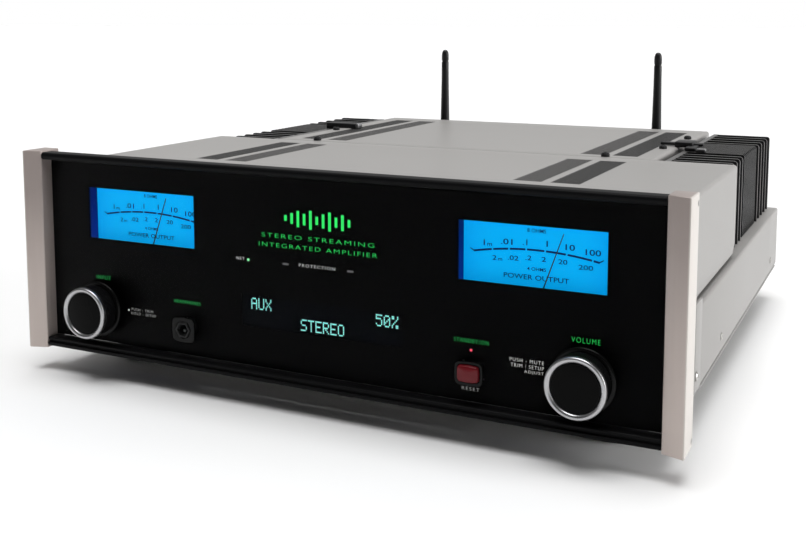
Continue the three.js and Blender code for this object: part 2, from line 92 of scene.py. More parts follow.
class Finish:
    def __init__(self, name, colour, roughness, **sockets):
        self.material = bpy.data.materials.new(name)
        self.material.use_nodes = True
        self.tree = self.material.node_tree
        self.shader = self.tree.nodes["Principled BSDF"]
        self.colour = (*colour, 1.0)
        self.shader.inputs["Base Color"].default_value = self.colour
        self.shader.inputs["Roughness"].default_value = roughness
        for socket, value in sockets.items():
            self.shader.inputs[socket.replace("_", " ")].default_value = value
        self.material.diffuse_color = self.colour

    def node(self, kind, settings=None, inputs=None, output=0):
        made = self.tree.nodes.new(kind)
        for key, value in (settings or {}).items():
            if key == "stops":
                ramp = made.color_ramp.elements
                while len(ramp) < len(value):
                    ramp.new(1.0)
                for stop, (place, colour) in zip(ramp, value):
                    stop.position, stop.color = place, (*colour, 1.0)
            else:
                setattr(made, key, value)
        for key, value in (inputs or {}).items():
            self.feed(made.inputs[key], value)
        return Wire(self, made.outputs[output])

    def feed(self, socket, value):
        if isinstance(value, Wire):
            self.tree.links.new(value.socket, socket)
        else:
            socket.default_value = value

    def drive(self, socket, value):
        self.feed(self.shader.inputs[socket], value)
        return self

    def place(self):
        return self.node("ShaderNodeTexCoord", output=3)

    def along(self, axis):  # this point's x, y or z in metres
        return self.node("ShaderNodeSeparateXYZ", inputs={0: self.place()}, output="XYZ".index(axis))

    def noise(self, scale, detail=2.0, stretch=(1, 1, 1)):
        spread = self.node("ShaderNodeMapping", inputs={0: self.place(), 3: stretch})
        return self.node("ShaderNodeTexNoise", inputs={"Vector": spread, "Scale": scale, "Detail": detail})

    def blend(self, factor, first, second):
        inputs = {0: factor, 6: first, 7: second}
        return self.node("ShaderNodeMix", {"data_type": "RGBA"}, inputs, output=2)

    def shade(self, factor, amount):  # the finish's own colour, a little darker where factor is 0
        dark = tuple(c * (1 - amount) for c in self.colour[:3]) + (1.0,)
        return self.blend(factor, dark, self.colour)

    def bump(self, height, depth, strength=0.5):
        made = self.node("ShaderNodeBump", inputs={"Strength": strength, "Distance": depth,
                                                   "Height": height})
        return self.drive("Normal", made)


def coat(name, colour, roughness, grain=900, depth=0.00004, **sockets):  # powder coat
    made = Finish(name, colour, roughness, **sockets)
    speckle = made.noise(grain, 1.0)
    patch = made.noise(14, 2.0)
    made.drive("Base Color", made.shade(patch, 0.05))
    made.drive("Roughness", speckle * 0.06 + (roughness - 0.03))
    return made.bump(speckle, depth, 0.35)


def brushed(name, colour, roughness, stretch, metallic=1.0, variation=0.06, **sockets):
    made = Finish(name, colour, roughness, Metallic=metallic, **sockets)
    lines = made.noise(260, 3.0, stretch)
    made.drive("Base Color", made.shade(lines, variation))
    made.drive("Roughness", lines * 0.12 + (roughness - 0.06))
    return made.bump(lines, 0.00003, 0.15)


def moulded(name, colour, roughness, **sockets):
    made = Finish(name, colour, roughness, **sockets)
    grain = made.noise(1600, 1.0)
    made.drive("Base Color", made.shade(grain, 0.12))
    made.drive("Roughness", grain * 0.08 + (roughness - 0.04))
    return made.bump(grain, 0.00002, 0.2)


def lit(name, colour, strength, paint=1.0):  # ink of this colour, lit from behind
    made = Finish(name, tuple(c * paint for c in colour), 0.6, Specular_IOR_Level=0.1)
    made.shader.inputs["Emission Strength"].default_value = strength
    tint = made.noise(120, 1.0)
    glow = made.blend(tint, tuple(c * 0.96 for c in colour) + (1.0,), (*colour, 1.0))
    made.drive("Emission Color", glow)
    made.drive("Base Color", made.shade(tint, 0.2))
    return made


caseGrey = coat("caseGrey", (0.328, 0.318, 0.307), 0.42)
strapBlack = coat("strapBlack", (0.008, 0.008, 0.009), 0.42, grain=1500, Specular_IOR_Level=0.35)
panelBlack = coat("panelBlack", (0.012, 0.012, 0.013), 0.55, Specular_IOR_Level=0.3)
capSilver = brushed("capSilver", (0.66, 0.605, 0.56), 0.42, (1, 1, 0.05), metallic=0.35)
capLines = capSilver.noise(260, 3.0, (1, 1, 0.05)) * 0.2
capSideHighlight = capSilver.along("X").size().between(0.2208, 0.2222)  # painted highlight: the outer sides and outer front edges take a lighter colour, standing for the light that falls on them
# painted shade: the fronts darker towards the top and lighter towards the bottom, standing for light
# bounced up from the floor, streaked with the brushing lines
capFrontShading = capSilver.blend(capSilver.along("Z").between(0.03, 0.15) + capLines,
                           (0.60, 0.52, 0.48, 1), (0.39, 0.333, 0.312, 1))
capSilver.drive("Base Color", capSilver.blend(capSideHighlight, capFrontShading, (0.69, 0.65, 0.61, 1)))
railBlack = brushed("railBlack", (0.004, 0.004, 0.0045), 0.42, (0.04, 1, 1), metallic=0.0,
                    Specular_IOR_Level=0.07)
ringSteel = brushed("ringSteel", (0.50, 0.50, 0.51), 0.33, (1, 0.2, 1), variation=0.2)
screwSteel = brushed("screwSteel", (0.5, 0.49, 0.47), 0.35, (1, 1, 1))
plainSteel = brushed("plainSteel", (0.45, 0.45, 0.46), 0.4, (0.3, 1, 1))
goldPlate = brushed("goldPlate", (0.86, 0.62, 0.26), 0.22, (1, 0.4, 1))
knobBlack = moulded("knobBlack", (0.005, 0.005, 0.0055), 0.38, Specular_IOR_Level=0.2)
mouldedBlack = moulded("mouldedBlack", (0.008, 0.008, 0.0085), 0.45, Specular_IOR_Level=0.3)
aerialBlack = moulded("aerialBlack", (0.012, 0.012, 0.013), 0.36, Specular_IOR_Level=0.3)
footBlack = moulded("footBlack", (0.018, 0.018, 0.018), 0.8)
sleeveBlue = moulded("sleeveBlue", (0.02, 0.035, 0.09), 0.3)
socketRed = moulded("socketRed", (0.45, 0.02, 0.02), 0.35)
socketWhite = moulded("socketWhite", (0.75, 0.74, 0.72), 0.35)
buttonRed = moulded("buttonRed", (0.15, 0.007, 0.012), 0.3, Specular_IOR_Level=0.25)
buttonTint = buttonRed.shade(buttonRed.noise(1600, 1.0), 0.12)
buttonRed.drive("Base Color", buttonRed.blend(buttonRed.along("Y").between(-0.2153, -0.2149), buttonTint,
                                              # only the front of the button is red
                                              (0.003, 0.003, 0.003, 1)))
discBlack = moulded("discBlack", (0.002, 0.002, 0.002), 0.2, Specular_IOR_Level=0.05)
bezelBlack = moulded("bezelBlack", (0.004, 0.004, 0.004), 0.25, Specular_IOR_Level=0.14)
maskBlack = moulded("maskBlack", (0.001, 0.001, 0.0011), 0.6, Specular_IOR_Level=0.02)
tubeGlass = Finish("tubeGlass", (0.0012, 0.0018, 0.0035), 0.3, Specular_IOR_Level=0.02)
tubeGlass.drive("Base Color", tubeGlass.shade(tubeGlass.noise(300, 2.0), 0.5))
needleBlack = moulded("needleBlack", (0.004, 0.006, 0.02), 0.5)

panelGlass = Finish("panelGlass", (0.9, 0.9, 0.9), 0.02, Metallic=1.0)  # clear, with only its sheen showing
sheen = panelGlass.node("ShaderNodeFresnel", inputs={"IOR": 1.3})
panelGlass.drive("Alpha", sheen * 0.05)
panelGlass.drive("Base Color", panelGlass.shade(panelGlass.noise(25, 1.0), 0.04))

greenInk = lit("greenInk", (0.02, 0.62, 0.10), 0.85)
emblemGreen = lit("emblemGreen", (0.025, 0.66, 0.11), 0.85)
dimGreenInk = lit("dimGreenInk", (0.03, 0.50, 0.11), 0.6)
whiteInk = lit("whiteInk", (0.75, 0.75, 0.73), 0.7)
paleInk = lit("paleInk", (0.45, 0.45, 0.44), 0.45)
greyInk = lit("greyInk", (0.16, 0.16, 0.16), 0.5)
greenLamp = lit("greenLamp", (0.25, 0.9, 0.35), 1.2)
redLamp = lit("redLamp", (0.75, 0.06, 0.10), 1.2)
digitCyan = lit("digitCyan", (0.28, 0.82, 0.76), 0.6)
dialInk = lit("dialInk", (0.0, 0.012, 0.10), 0.4)


def dialFinish(name, centreX):  # blue light from behind, a little dimmer toward the edges
    made = Finish(name, (0.0, 0.20, 0.50), 0.6, Specular_IOR_Level=0.02)
    made.shader.inputs["Emission Strength"].default_value = 0.86
    across = (made.along("X") - centreX * 0.001).size().between(0.026, 0.046)
    up = (made.along("Z") - 0.1112).size().between(0.010, 0.021)
    dim = 1 - (1 - across) * (1 - up * 0.6)
    cloud = made.noise(40, 1.0) * 0.12
    made.drive("Emission Color", made.blend(dim * 0.6 + cloud, (0.001, 0.37, 0.78, 1),
                                            (0.0, 0.27, 0.68, 1)))
    return made


# painted shade: the vent grilles are darker greys than the cover, the outer strips darker than the inner,
# standing for the dark inside seen through the fine slots
ventShadeDark = coat("ventShadeDark", (0.042, 0.041, 0.04), 0.5)
ventShadeGrey = coat("ventShadeGrey", (0.11, 0.107, 0.104), 0.5)

sinkBlack = Finish("sinkBlack", (0.006, 0.006, 0.0065), 0.34, Specular_IOR_Level=0.3)
# painted highlight: the fins' top edges and outer tips turn lighter grey, standing for the light they catch
sinkTopHighlight = sinkBlack.along("Z").between(0.1401, 0.14045)
sinkTipHighlight = sinkBlack.along("X").size().between(0.2066, 0.2072)
sinkEdgeHighlight = sinkTopHighlight * 0.30 + sinkTipHighlight * 0.18
sinkBlack.drive("Base Color", sinkBlack.blend(sinkEdgeHighlight + sinkBlack.noise(500, 1.0) * 0.02,
                                              (0.006, 0.006, 0.0065, 1), (0.30, 0.295, 0.285, 1)))
sinkBlack.drive("Roughness", sinkBlack.noise(400, 2.0) * 0.1 + 0.3)

boardGreen = Finish("boardGreen", (0.02, 0.12, 0.05), 0.45)
traces = (boardGreen.along("X") * 900).wave().between(0.2, 0.5) * (boardGreen.noise(60, 2.0)).between(0.45,
                                                                                                      0.55)
boardGreen.drive("Base Color", boardGreen.blend(traces, (0.015, 0.09, 0.035, 1), (0.05, 0.22, 0.09, 1)))
print("finishes made:", len(bpy.data.materials))


# ---- mesh helpers

def addBlock(build, low, high):
    made = bmesh.ops.create_cube(build, size=1)["verts"]
    bmesh.ops.scale(build, vec=high - low, verts=made)
    bmesh.ops.translate(build, vec=(high + low) / 2, verts=made)
    return made


def addTurned(build, profile, centre, steps=64, axis="Y", closed=False, ribs=0.0):
    # profile: (radius, distance along the axis) pairs in millimetres; ribs pulls every other step in
    rings = []
    for radius, along in profile:
        if radius < 0.001:
            turns = [0.0]
        else:
            turns = [2 * math.pi * i / steps for i in range(steps)]
        ring = []
        for i, turn in enumerate(turns):
            reach = radius - (ribs if i % 2 and radius > 0.001 else 0.0)
            u, v, w = reach * math.cos(turn), reach * math.sin(turn), along
            spot = {"Y": (u, w, v), "Z": (u, v, w), "X": (w, u, v)}[axis]
            ring.append(build.verts.new(centre + Vector(spot) * 0.001))
        rings.append(ring)
    pairs = list(zip(rings, rings[1:]))
    if closed:
        pairs.append((rings[-1], rings[0]))
    for first, second in pairs:
        count = max(len(first), len(second))
        for i in range(count):
            j = (i + 1) % count
            corners = [first[i % len(first)], first[j % len(first)],
                       second[j % len(second)], second[i % len(second)]]
            unique = list(dict.fromkeys(corners))
            if len(unique) > 2:
                build.faces.new(unique)


def addPrism(build, outline, start, end, axis="Y"):
    # outline in millimetres: (x, z) drawn along Y, (x, y) along Z or (y, z) along X
    def spot(point, along):
        a, b = point
        return {"Y": at(a, along, b), "Z": at(a, b, along), "X": at(along, a, b)}[axis]
    low = [build.verts.new(spot(p, start)) for p in outline]
    high = [build.verts.new(spot(p, end)) for p in outline]
    build.faces.new(low)
    build.faces.new(high[::-1])
    for i in range(len(outline)):
        j = (i + 1) % len(outline)
        build.faces.new((low[i], high[i], high[j], low[j]))


def addFrame(build, outer, inner, start, end):  # two outlines with the same number of points, drawn along Y
    rings = [[build.verts.new(at(x, y, z)) for x, z in outline]
             for outline, y in ((outer, start), (outer, end), (inner, end), (inner, start))]
    for first, second in zip(rings, rings[1:] + rings[:1]):
        for i in range(len(first)):
            j = (i + 1) % len(first)
            build.faces.new((first[i], first[j], second[j], second[i]))


def addSheet(build, spine, stations, holes=()):
    # spine: (x, z) points across; stations: y values along; holes: (x0, x1, y0, y1) left open
    rows = [[build.verts.new(at(x, y, z)) for x, z in spine] for y in stations]
    for j in range(len(stations) - 1):
        for i in range(len(spine) - 1):
            x = (spine[i][0] + spine[i + 1][0]) / 2
            y = (stations[j] + stations[j + 1]) / 2
            if not any(x0 < x < x1 and y0 < y < y1 for x0, x1, y0, y1 in holes):
                build.faces.new((rows[j][i], rows[j][i + 1], rows[j + 1][i + 1], rows[j + 1][i]))


def barrel(x, z, width, height, bulge, corner, steps=6):
    # an upright outline whose sides and ends bow out a little, with round corners
    points = []
    for sx, sz, start in ((1, 1, 0), (-1, 1, 90), (-1, -1, 180), (1, -1, 270)):
        cx, cz = sx * (width / 2 - corner), sz * (height / 2 - corner)
        for i in range(steps + 1):
            turn = math.radians(start + 90 * i / steps)
            points.append((cx + corner * math.cos(turn), cz + corner * math.sin(turn)))
        points.append((0, sz * (height / 2 + bulge)) if sx == sz else (sx * (width / 2 + bulge * 0.3), 0))
    return [(x + a, z + b) for a, b in points]


def settle(name, build, finish, body="chassis", bevel=0.0, steps=2, shell=0.0, smooth=35,
           weld=True):
    if weld:
        bmesh.ops.remove_doubles(build, verts=build.verts, dist=2e-6)
    bmesh.ops.recalc_face_normals(build, faces=build.faces)
    mesh = bpy.data.meshes.new(name)
    build.to_mesh(mesh)
    build.free()
    made = bpy.data.objects.new(name, mesh)
    scene.collection.objects.link(made)
    if shell:
        wall = made.modifiers.new("wall", "SOLIDIFY")
        wall.thickness, wall.offset = shell * 0.001, -1
    if bevel:
        edge = made.modifiers.new("edge", "BEVEL")
        edge.width, edge.segments, edge.limit_method = bevel * 0.001, steps, "ANGLE"
        edge.angle_limit = math.radians(40)
    if shell or bevel:
        fresh = bpy.data.meshes.new_from_object(made.evaluated_get(bpy.context.evaluated_depsgraph_get()))
        made.modifiers.clear()
        made.data = fresh
    made.data.materials.clear()
    made.data.materials.append(finish.material)
    made.data.shade_smooth()
    made.data.set_sharp_from_angle(angle=math.radians(smooth))
    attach(made, body)
    return made


def addWords(build, words, x, z, width, height, y, weight=0.0, spacing=1.0):
    # letters stretched to a width and height and laid on the plane y; weight thickens or thins the
    # strokes and spacing spreads the letters
    curve = bpy.data.curves.new("words", "FONT")
    curve.body, curve.extrude, curve.resolution_u, curve.offset = words, 0.01, 3, weight
    curve.space_character = spacing
    writer = bpy.data.objects.new("words", curve)
    scene.collection.objects.link(writer)
    letters = bpy.data.meshes.new_from_object(writer.evaluated_get(bpy.context.evaluated_depsgraph_get()))
    xs = [v.co.x for v in letters.vertices]
    ys = [v.co.y for v in letters.vertices]
    start = len(build.verts)
    build.from_mesh(letters)
    build.verts.ensure_lookup_table()
    wide, tall = max(xs) - min(xs), max(ys) - min(ys)
    for v in build.verts[start:]:
        u = (v.co.x - (max(xs) + min(xs)) / 2) / wide * width
        w = (v.co.y - (max(ys) + min(ys)) / 2) / tall * height
        v.co = at(x + u, y - (0.04 if v.co.z > 0 else -0.04), z + w)
    bpy.data.objects.remove(writer)
    bpy.data.curves.remove(curve)
    bpy.data.meshes.remove(letters)


def dress(finish, *nodes):
    for node in nodes:
        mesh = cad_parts[node].data
        mesh.materials.clear()
        mesh.materials.append(finish.material)


# ---- front panel

panel = {"half": 209.25, "capOuter": 222.25, "capInner": 209.55, "capSlant": 4.2, "capDepth": 21,
         "bottom": 16, "top": 152, "printPlane": 13.12, "weight": -0.022, "spacing": 1.25}

for side, sideName in ((-1, "left"), (1, "right")):
    build = bmesh.new()
    addPrism(build, [(side * panel["capOuter"], 0), (side * panel["capOuter"], panel["capDepth"]),
                     (side * panel["capInner"], panel["capDepth"]),
                     (side * panel["capInner"], panel["capSlant"])],
             panel["bottom"], panel["top"], "Z")
    cap = settle("endCap" + sideName.title(), build, capSilver, bevel=0.7, steps=3)
    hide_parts("end_cap_" + sideName)
    build = bmesh.new()
    for z in (panel["top"] - 5.5, panel["bottom"] + 4):
        outer = at(side * panel["capOuter"], 18.4, z)
        addTurned(build, [(0, 0), (1.5, 0), (1.7, side * 0.12), (1.2, side * 0.2), (0.6, side * 0.05),
                          (0, side * 0.05)],
                  outer, 20, "X")
    settle("capScrews" + sideName.title(), build, screwSteel)

rail = {"front": 4, "back": 14, "upperLow": 146, "upperHigh": 150.9, "lowerLow": 17.6, "lowerHigh": 23.5}
build = bmesh.new()
outline = [(rail["back"], rail["upperLow"]), (rail["back"], rail["upperHigh"])]
for i in range(9):
    turn = math.radians(90 + 180 * i / 8)
    outline.append((rail["front"] + 2.0 + 2.0 * math.cos(turn), 148.45 + 2.45 * math.sin(turn)))
addPrism(build, outline, -panel["half"], panel["half"], "X")
topRail = settle("topRail", build, railBlack, smooth=60)
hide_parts("top_rail")

build = bmesh.new()
low, high = rail["lowerLow"], rail["lowerHigh"]
addPrism(build, [(4.9, low), (rail["back"], low), (rail["back"], high), (5.6, high), (4.9, high - 0.5),
                 (4.9, high - 1.8), (5.8, high - 2.0), (5.8, high - 3.2), (4.0, high - 3.4),
                 (4.0, low + 0.7),
                 (4.4, low + 0.2)],
         -panel["half"], panel["half"], "X")
bottomRail = settle("bottomRail", build, railBlack, bevel=0.18)
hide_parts("bottom_rail")

# words on the panel: text, centre x, centre z, width, height
words = {
    "green": [("STEREO STREAMING", -0.9, 108.3, 78, 2.5), ("INTEGRATED AMPLIFIER", -1.0, 102.4, 82, 2.5),
              ("VOLUME", 166.1, 68.1, 16, 2.9)],
    "dimGreen": [("INPUT", -166.35, 67.7, 12, 2.5), ("HEADPHONES", -97.6, 58.6, 20.6, 2.1),
                 ("STANDBY/ON", 99.6, 59.2, 21, 2.3)],
    "white": [("NET", -55.9, 91.7, 5.9, 1.7), ("PROTECTION", -0.8, 91.6, 25, 1.8),
              ("PUSH - MUTE", 132.8, 52.2, 19.8, 2.0), ("TRIM / SETUP", 133.1, 49.1, 19.2, 2.0),
              ("ADJUST", 137.1, 46.0, 11.3, 2.0)],
    "grey": [("PUSH - TRIM", -134.4, 48.8, 17.6, 1.7), ("HOLD - SETUP", -133.5, 46.1, 20.4, 1.7),
             ("RESET", 99.5, 31.2, 10.7, 1.9)],
}
inks = {"green": greenInk, "dimGreen": dimGreenInk, "white": whiteInk, "grey": paleInk}
for tone, entries in words.items():
    build = bmesh.new()
    for text, x, z, width, height in entries:
        addWords(build, text, x, z, width, height, panel["printPlane"], panel["weight"], panel["spacing"])
    settle(tone + "Lettering", build, inks[tone], weld=False)

# the emblem: a row of upright sound-level bars
emblem = {"centreX": -0.6, "centreZ": 119.9, "bars": [3.5, 6.5, 10, 7, 11.5, 5, 8.5, 11.5, 6, 9.5, 4.5],
          "pitch": 4.4}
build = bmesh.new()
for i, tall in enumerate(emblem["bars"]):
    x = emblem["centreX"] + (i - 5) * emblem["pitch"]
    y = panel["printPlane"]
    addBlock(build, at(x - 0.9, y - 0.04, emblem["centreZ"] - tall / 2),
             at(x + 0.9, y + 0.04, emblem["centreZ"] + tall / 2))
settle("soundBars", build, emblemGreen, weld=False)


def addLamp(name, x, z, radius, sides, finish):
    build = bmesh.new()
    profile = [(0, -0.05), (radius, -0.02), (radius, 0.05), (0, 0.05)]
    addTurned(build, profile, at(x, panel["printPlane"], z), sides)
    settle(name, build, finish)


addLamp("networkLamp", -50.1, 91.3, 0.85, 20, greenLamp)
addLamp("standbyLamp", 99.6, 53.9, 0.75, 20, redLamp)
build = bmesh.new()
for x in (-22.9, 22.1):
    addBlock(build, at(x - 2.1, 13.08, 90.7), at(x + 2.1, 13.16, 91.8))
settle("overloadLamps", build, greyInk)
addLamp("trimMark", -145.7, 47.8, 0.6, 16, whiteInk)

dress(panelGlass, "glass_panel")
dress(maskBlack, "panel_mask")
dress(plainSteel, "front_subpanel")
print("front panel done")


# ---- meters

meter = {"x": 134.15, "arcRadius": 187, "arcTop": 113.2, "arcHalf": 36.5, "stroke": 1.15,
         "gaps": [-25.2, -15.4, -5.3, 5.7, 18.0, 32.6], "printPlane": 21.1, "leftShift": 1.8}
dialWords = [
    ("1", -30.2, 114.9, 0.8, 3.4), ("m", -26.9, 114.0, 2.9, 1.7), (".01", -16.8, 116.5, 7.0, 3.4),
    (".1", -6.0, 117.1, 2.8, 3.4), ("1", 6.8, 117.4, 0.8, 3.4), ("10", 19.9, 116.5, 5.4, 3.4),
    ("100", 32.8, 114.8, 8.6, 3.4),
    ("2", -24.0, 106.7, 2.5, 2.8), ("m", -20.6, 106.0, 2.6, 1.5), (".02", -12.9, 107.6, 6.4, 2.8),
    (".2", -3.9, 108.5, 3.6, 2.8), ("2", 5.0, 108.5, 2.6, 2.8), ("20", 15.9, 108.1, 5.2, 2.8),
    ("200", 28.8, 106.2, 8.2, 2.8), ("8 OHMS", 0.7, 124.1, 11, 2.3), ("4 OHMS", 0.9, 102.5, 11, 2.1),
    ("POWER OUTPUT", 0.6, 97.6, 38, 2.9),
]


def arcSpot(x, offset):
    turn = math.asin(x / meter["arcRadius"])
    reach = meter["arcRadius"] + offset
    return reach * math.sin(turn), meter["arcTop"] - meter["arcRadius"] + reach * math.cos(turn)


for side, sideName in ((-1, "left"), (1, "right")):
    centre = side * meter["x"]
    dress(dialFinish("dialBlue" + sideName.title(), centre), "meter_dial_" + sideName)
    middle = centre + (meter["leftShift"] if side < 0 else 0)
    build = bmesh.new()
    edges = [-meter["arcHalf"], *meter["gaps"], meter["arcHalf"]]
    for first, second in zip(edges, edges[1:]):
        start = first + (0.45 if first != edges[0] else 0)
        end = second - (0.45 if second != edges[-1] else 0)
        count = max(2, int((end - start) / 1.5))
        xs = [start + (end - start) * i / count for i in range(count + 1)]
        outline = [arcSpot(x, meter["stroke"] / 2) for x in xs] + [arcSpot(x,
                -meter["stroke"] / 2) for x in reversed(xs)]
        addPrism(build, [(middle + x, z) for x, z in outline], meter["printPlane"] - 0.04,
                 meter["printPlane"] + 0.04)
    for end in (-1, 1):  # short spurs at both ends of the scale
        x, z = arcSpot(end * meter["arcHalf"], 0)
        spur = [(x - end * 0.6, z - 0.5), (x + end * 2.0, z + 1.0), (x + end * 2.2, z + 1.9),
                (x - end * 0.2, z + 0.5)]
        addPrism(build, [(middle + a, b) for a, b in spur], meter["printPlane"] - 0.05,
                 meter["printPlane"] + 0.03)
    for text, x, z, width, height in dialWords:
        addWords(build, text, middle + x, z, width, height, meter["printPlane"], 0.012)
    settle("dialPrint" + sideName.title(), build, dialInk, weld=False)

    rest = math.radians(19.5)
    build = bmesh.new()
    turn = Matrix.Rotation(rest, 4, "Y")
    pivot = at(centre, 18.8, 76.4)
    for low, high, wide, thin in ((-9, 0, 1.1, 0.9), (0, 50.6, 0.85, 0.45)):
        corners = [(-wide / 2, low), (wide / 2, low), (thin / 2, high), (-thin / 2, high)]
        rings = []
        for y in (-0.25, 0.25):
            rings.append([build.verts.new(pivot + turn @ Vector((a * 0.001, y * 0.001, b * 0.001))) for a,
                          b in corners])
        build.faces.new(rings[0])
        build.faces.new(rings[1][::-1])
        for i in range(4):
            j = (i + 1) % 4
            build.faces.new((rings[0][i], rings[1][i], rings[1][j], rings[0][j]))
    addTurned(build, [(0, -1), (2.0, -1), (2.4, -0.6), (2.4, 1.6), (1, 1.6), (1, 9), (0, 9)], pivot, 24)
    hand = settle("needle" + sideName.title(), build, needleBlack, "needle_" + sideName)
    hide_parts("meter_needle_" + sideName)

# painted light: the meter housings glow blue as if lit by the meter lamps, brighter low down, with no glow
# on the parts behind the dial
boxPaintedGlow = Finish("boxPaintedGlow", (0.0, 0.01, 0.10), 0.5, Specular_IOR_Level=0.05)
boxPaintedGlow.shader.inputs["Emission Strength"].default_value = 0.5
boxGlow = boxPaintedGlow.blend(boxPaintedGlow.along("Z").between(0.09, 0.13), (0.0, 0.02, 0.26, 1), (0.0, 0.004, 0.10, 1))
boxPaintedGlow.drive("Emission Color", boxPaintedGlow.blend(boxPaintedGlow.along("Y").between(-0.2012, -0.2002), boxGlow,
                                              (0, 0, 0, 1)))
boxPaintedGlow.drive("Base Color", boxPaintedGlow.shade(boxPaintedGlow.noise(80, 2.0), 0.2))
dress(boxPaintedGlow, "meter_housing_left", "meter_housing_right")
dress(plainSteel, "meter_movement_left", "meter_movement_right")
print("meters done")


# ---- display: dot characters behind the glass

display = {"dotWide": 0.68, "dotTall": 0.88, "columnPitch": 0.88, "rowPitch": 1.06, "plane": 14.62}
glyphs = {
    "A": "01110 10001 10001 11111 10001 10001 10001", "U": "10001 10001 10001 10001 10001 10001 01110",
    "X": "10001 10001 01010 00100 01010 10001 10001", "5": "11111 10000 11110 00001 00001 10001 01110",
    "0": "01110 10001 10011 10101 11001 10001 01110", "%": "11001 11001 00010 00100 01000 10011 10011",
    "S": "01111 10000 10000 01110 00001 00001 11110", "T": "11111 00100 00100 00100 00100 00100 00100",
    "E": "11111 10000 10000 11110 10000 10000 11111", "R": "11110 10001 10001 11110 10100 10010 10001",
    "O": "01110 10001 10001 10001 10001 10001 01110",
}
readings = [("AUX", -49.3, 67.1, 5.25), ("50%", 38.3, 67.1, 5.25), ("STEREO", -13.4, 57.6, 5.2)]
build = bmesh.new()
for text, left, top, pitch in readings:
    for n, letter in enumerate(text):
        for row, dots in enumerate(glyphs[letter].split()):
            for column, dot in enumerate(dots):
                if dot == "1":
                    x = left + n * pitch + column * display["columnPitch"]
                    z = top - row * display["rowPitch"]
                    addBlock(build, at(x, display["plane"] - 0.05, z - display["dotTall"]),
                             at(x + display["dotWide"], display["plane"] + 0.05, z))
settle("displayDigits", build, digitCyan, weld=False)
dress(tubeGlass, "display_module")
dress(boardGreen, "control_board")
print("display done")


# ---- knobs, button and headphone socket

knob = {"x": 166.35, "z": 47.8, "radius": 16.6, "ribDepth": 0.28, "ribs": 110}
for side, name in ((-1, "input"), (1, "volume")):
    centre = at(side * knob["x"], 0, knob["z"])
    build = bmesh.new()
    addTurned(build, [(0, -6.9), (13.3, -6.9), (13.6, -6.6), (13.6, -4.2), (16.1, -4.2),
                      (knob["radius"], -3.8)],
              centre, knob["ribs"] * 2)
    addTurned(build, [(knob["radius"], -3.8), (knob["radius"], -3.2)], centre, knob["ribs"] * 2)
    addTurned(build, [(knob["radius"], -3.2), (knob["radius"], 4.2)], centre, knob["ribs"] * 2,
              ribs=knob["ribDepth"])
    addTurned(build, [(knob["radius"], 4.2), (16.2, 5.0), (3.3, 5.0), (3.3, -3.3), (0, -3.3)], centre,
              knob["ribs"] * 2)
    body = settle(name + "KnobBody", build, knobBlack, name + "_dial", smooth=28)
    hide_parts(name + "_knob")
    build = bmesh.new()
    addTurned(build, [(0, -6.96), (13.1, -6.96), (13.3, -6.9), (0, -6.9)], centre, 96)
    settle(name + "KnobFace", build, discBlack, name + "_dial")
    build = bmesh.new()
    addTurned(build, [(13.9, -4.5), (13.9, -6.6), (14.2, -7.1), (14.75, -7.6), (15.5, -7.9), (16.2, -7.85),
                      (16.75, -7.5), (17.05, -6.9), (17.1, -6.2), (17.1, -4.9), (16.8, -4.5)], centre, 128,
                      closed=True)
    ring = settle(name + "KnobRing", build, ringSteel, name + "_dial", smooth=50)
    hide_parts(name + "_knob_ring")
    build = bmesh.new()
    addTurned(build, [(8.7, 7.7), (8.7, 6.4), (17.4, 6.2), (18.2, 6.5), (18.45, 7.1), (18.45, 7.7)],
              centre, 96, closed=True)
    settle(name + "KnobSeat", build, bezelBlack, smooth=50)

dress(plainSteel, "input_shaft", "volume_shaft", "input_encoder", "volume_encoder")

button = {"x": 100.75, "z": 42.4, "width": 12.8, "height": 9.3, "bulge": 0.35}
build = bmesh.new()
outer = barrel(button["x"], button["z"], button["width"], button["height"], button["bulge"], 1.9)
inner = [(button["x"] + (x - button["x"]) * 0.86, button["z"] + (z - button["z"]) * 0.84) for x, z in outer]
mid = [(button["x"] + (x - button["x"]) * 0.965, button["z"] + (z - button["z"]) * 0.955) for x, z in outer]
rings = [[build.verts.new(at(x, y, z)) for x, z in ring]
         for ring, y in ((outer, 13.0), (outer, 5.6), (mid, 4.75), (inner, 4.35))]
for first, second in zip(rings, rings[1:]):
    for i in range(len(first)):
        j = (i + 1) % len(first)
        build.faces.new((first[i], first[j], second[j], second[i]))
crown = build.verts.new(at(button["x"], 4.2, button["z"]))
for i in range(len(inner)):
    build.faces.new((rings[3][i], rings[3][(i + 1) % len(inner)], crown))
build.faces.new(rings[0][::-1])
addBlock(build, at(button["x"] - 2.2, 12.9, button["z"] - 2.2),
         at(button["x"] + 2.2, 23.5, button["z"] + 2.2))
cap = settle("standbyButton", build, buttonRed, "power_push", smooth=50)
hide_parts("power_button")
build = bmesh.new()
addFrame(build, barrel(button["x"], button["z"] - 0.3, 16.6, 13.4, 0.45, 2.8),
         barrel(button["x"], button["z"], 13.5, 10.0, 0.4, 2.1), 7.7, 6.3)
settle("buttonSurround", build, bezelBlack, bevel=0.25, steps=3)
dress(mouldedBlack, "power_switch")

